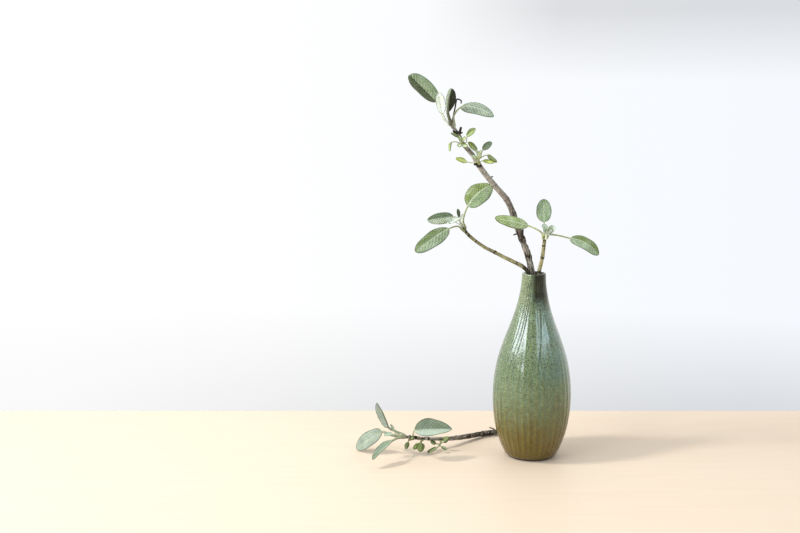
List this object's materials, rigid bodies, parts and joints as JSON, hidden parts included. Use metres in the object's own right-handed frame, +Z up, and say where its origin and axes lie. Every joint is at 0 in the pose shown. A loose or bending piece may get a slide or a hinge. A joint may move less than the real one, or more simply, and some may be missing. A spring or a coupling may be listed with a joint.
{
  "type": "ikebana arrangement",
  "caption": "A forked, leafy sage branch stands in a tall fluted bottle vase with celadon glaze, and a cut sage sprig lies on the table behind its foot.",
  "frame": {"origin": "centre of the vase's flat foot, on the table", "axes": "+Z up out of the vase's mouth, -Y towards the viewer, the branch leans towards -X"},
  "size_m": [0.2443, 0.1175, 0.3884],
  "materials": {
    "glaze": "glossy mottled celadon glaze over carved flutes",
    "water": "clear still water",
    "bark": "grey-brown ridged bark",
    "shoot_bark": "olive and tan young bark with dark rings",
    "sprig_bark": "dark flaking bark",
    "leaf": "grey-green felted leaf with a raised net of veins",
    "young_leaf": "yellow-green young leaf",
    "pale_leaf": "near-white woolly young leaf"
  },
  "bodies": {
    "root": {"vase": "glaze", "water": "water", "main_branch": "bark", "left_shoot": "shoot_bark", "right_shoot": "shoot_bark", "sprig_stem": "sprig_bark", "top_leaf_far_left": "leaf", "top_leaf_upright": "leaf", "top_leaf_pale": "pale_leaf", "top_leaf_right": "leaf", "left_leaf_round": "leaf", "left_leaf_folded": "leaf", "left_leaf_low": "leaf", "right_leaf_left": "leaf", "right_leaf_upright": "leaf", "right_leaf_right": "leaf", "sprig_leaf_upright": "leaf", "sprig_leaf_left": "leaf", "sprig_leaf_front": "leaf", "sprig_leaf_large": "leaf", "branch_spray_upper": "young_leaf", "branch_spray_lower": "young_leaf", "left_spray_tip": "pale_leaf", "right_spray_tip": "pale_leaf", "sprig_spray_tip": "pale_leaf", "sprig_spray_first": "young_leaf", "sprig_spray_middle": "young_leaf", "sprig_spray_last": "young_leaf"}
  },
  "joints": []
}
